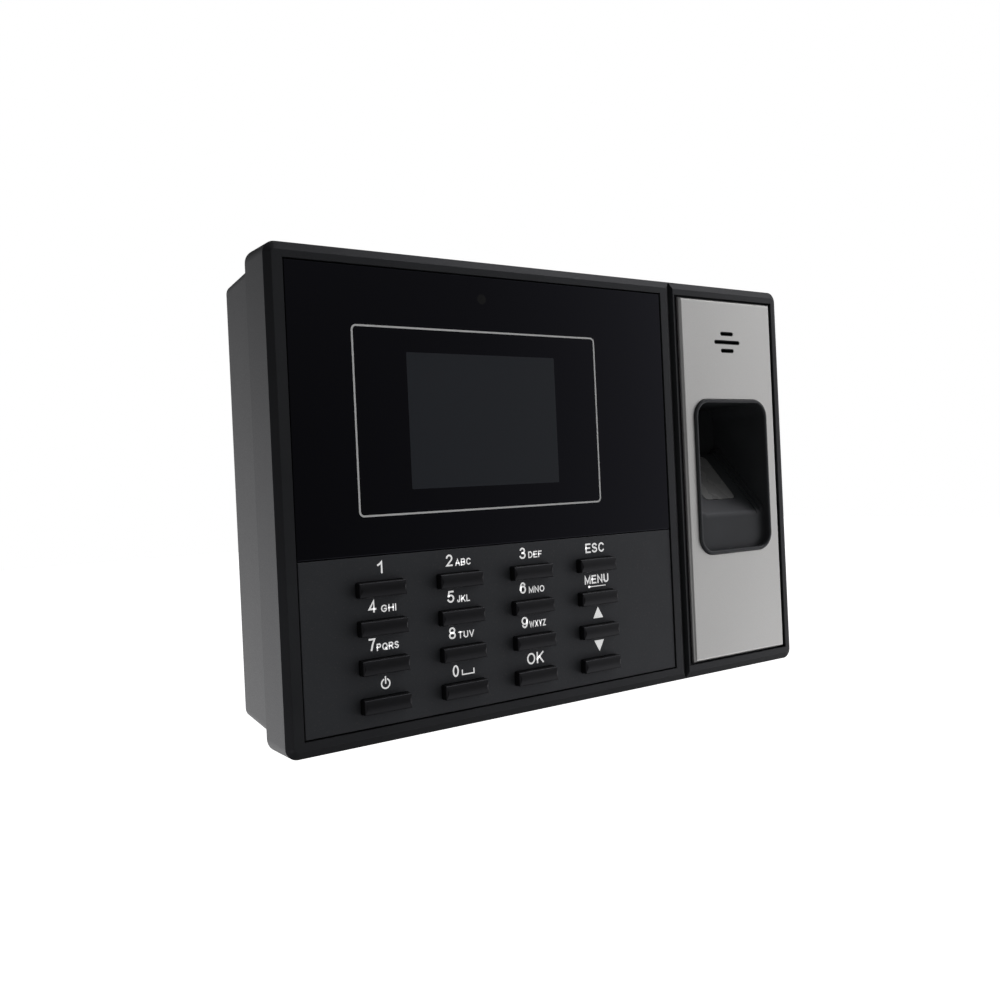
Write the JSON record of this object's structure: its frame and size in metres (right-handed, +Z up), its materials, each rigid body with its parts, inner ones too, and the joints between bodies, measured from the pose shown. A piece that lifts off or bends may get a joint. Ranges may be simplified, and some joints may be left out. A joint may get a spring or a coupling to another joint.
{
  "type": "fingerprint scanner terminal",
  "caption": "Wall-mounted fingerprint terminal: black two-part housing, glossy display lens, push-key pad, silver side panel with speaker slots and a recessed finger well.",
  "frame": {"origin": "centre of the wall plate's back face, where the terminal meets the wall", "axes": "+X to the right seen from the front, +Y into the wall, +Z up"},
  "size_m": [0.187, 0.0478, 0.132],
  "materials": {
    "housing_black": "fine matte texture",
    "lens_black": "polished, black printed mask behind a clear face",
    "tape_black": "matte foam tape",
    "display_glass": "dark unlit display",
    "steel": "zinc plated",
    "circuit_green": "solder mask",
    "clear_plastic": "frosted light pipe",
    "connector_white": "moulded",
    "keypad_black": "fine speckled texture",
    "key_black": "smooth satin",
    "silicone_grey": "silicone",
    "panel_silver": "satin anodised with bevelled edges",
    "bezel_black": "satin",
    "sensor_glass": "coated optical window",
    "speaker_black": "paper cone and plastic basket",
    "cable_red": "insulated wire",
    "chip_black": "moulded epoxy",
    "ribbon_grey": "flat cable",
    "socket_black": "moulded",
    "plate_steel": "zinc plated sheet"
  },
  "bodies": {
    "terminal": {"front_housing": "housing_black", "rear_housing": "housing_black", "display_lens": "lens_black", "lens_tape": "tape_black", "display_glass": "display_glass", "display_frame": "steel", "display_board": "circuit_green", "light_pipe": "clear_plastic", "status_led": "connector_white", "keypad_panel": "keypad_black", "keypad_membrane": "silicone_grey", "keypad_board": "circuit_green", "side_panel": "panel_silver", "side_panel_tape": "tape_black", "fingerprint_bezel": "bezel_black", "sensor_window": "sensor_glass", "sensor_module": "bezel_black", "sensor_board": "circuit_green", "speaker_gasket": "tape_black", "speaker": "speaker_black", "speaker_strap": "steel", "speaker_leads": "cable_red", "main_board": "circuit_green", "board_chips": "chip_black", "board_connectors": "connector_white", "ribbons": "ribbon_grey", "network_socket": "steel", "power_jack": "socket_black", "usb_socket": "steel", "cell_holder": "socket_black", "coin_cell": "steel", "wall_plate": "plate_steel", "lock_screw": "steel", "housing_screws": "steel", "board_screws": "steel", "main_board_screws": "steel"},
    "key_power": {"key_power": "key_black"},
    "key_0": {"key_0": "key_black"},
    "key_ok": {"key_ok": "key_black"},
    "key_down": {"key_down": "key_black"},
    "key_7": {"key_7": "key_black"},
    "key_8": {"key_8": "key_black"},
    "key_9": {"key_9": "key_black"},
    "key_up": {"key_up": "key_black"},
    "key_4": {"key_4": "key_black"},
    "key_5": {"key_5": "key_black"},
    "key_6": {"key_6": "key_black"},
    "key_menu": {"key_menu": "key_black"},
    "key_1": {"key_1": "key_black"},
    "key_2": {"key_2": "key_black"},
    "key_3": {"key_3": "key_black"},
    "key_esc": {"key_esc": "key_black"}
  },
  "joints": [
    {"name": "press_power", "type": "slide", "parent": "terminal", "child": "key_power", "axis": [0, 1, 0], "range_m": [0, 0.001], "stiffness_N_per_m": 400, "springref_m": -0.0005},
    {"name": "press_0", "type": "slide", "parent": "terminal", "child": "key_0", "axis": [0, 1, 0], "range_m": [0, 0.001], "stiffness_N_per_m": 400, "springref_m": -0.0005},
    {"name": "press_ok", "type": "slide", "parent": "terminal", "child": "key_ok", "axis": [0, 1, 0], "range_m": [0, 0.001], "stiffness_N_per_m": 400, "springref_m": -0.0005},
    {"name": "press_down", "type": "slide", "parent": "terminal", "child": "key_down", "axis": [0, 1, 0], "range_m": [0, 0.001], "stiffness_N_per_m": 400, "springref_m": -0.0005},
    {"name": "press_7", "type": "slide", "parent": "terminal", "child": "key_7", "axis": [0, 1, 0], "range_m": [0, 0.001], "stiffness_N_per_m": 400, "springref_m": -0.0005},
    {"name": "press_8", "type": "slide", "parent": "terminal", "child": "key_8", "axis": [0, 1, 0], "range_m": [0, 0.001], "stiffness_N_per_m": 400, "springref_m": -0.0005},
    {"name": "press_9", "type": "slide", "parent": "terminal", "child": "key_9", "axis": [0, 1, 0], "range_m": [0, 0.001], "stiffness_N_per_m": 400, "springref_m": -0.0005},
    {"name": "press_up", "type": "slide", "parent": "terminal", "child": "key_up", "axis": [0, 1, 0], "range_m": [0, 0.001], "stiffness_N_per_m": 400, "springref_m": -0.0005},
    {"name": "press_4", "type": "slide", "parent": "terminal", "child": "key_4", "axis": [0, 1, 0], "range_m": [0, 0.001], "stiffness_N_per_m": 400, "springref_m": -0.0005},
    {"name": "press_5", "type": "slide", "parent": "terminal", "child": "key_5", "axis": [0, 1, 0], "range_m": [0, 0.001], "stiffness_N_per_m": 400, "springref_m": -0.0005},
    {"name": "press_6", "type": "slide", "parent": "terminal", "child": "key_6", "axis": [0, 1, 0], "range_m": [0, 0.001], "stiffness_N_per_m": 400, "springref_m": -0.0005},
    {"name": "press_menu", "type": "slide", "parent": "terminal", "child": "key_menu", "axis": [0, 1, 0], "range_m": [0, 0.001], "stiffness_N_per_m": 400, "springref_m": -0.0005},
    {"name": "press_1", "type": "slide", "parent": "terminal", "child": "key_1", "axis": [0, 1, 0], "range_m": [0, 0.001], "stiffness_N_per_m": 400, "springref_m": -0.0005},
    {"name": "press_2", "type": "slide", "parent": "terminal", "child": "key_2", "axis": [0, 1, 0], "range_m": [0, 0.001], "stiffness_N_per_m": 400, "springref_m": -0.0005},
    {"name": "press_3", "type": "slide", "parent": "terminal", "child": "key_3", "axis": [0, 1, 0], "range_m": [0, 0.001], "stiffness_N_per_m": 400, "springref_m": -0.0005},
    {"name": "press_esc", "type": "slide", "parent": "terminal", "child": "key_esc", "axis": [0, 1, 0], "range_m": [0, 0.001], "stiffness_N_per_m": 400, "springref_m": -0.0005}
  ]
}
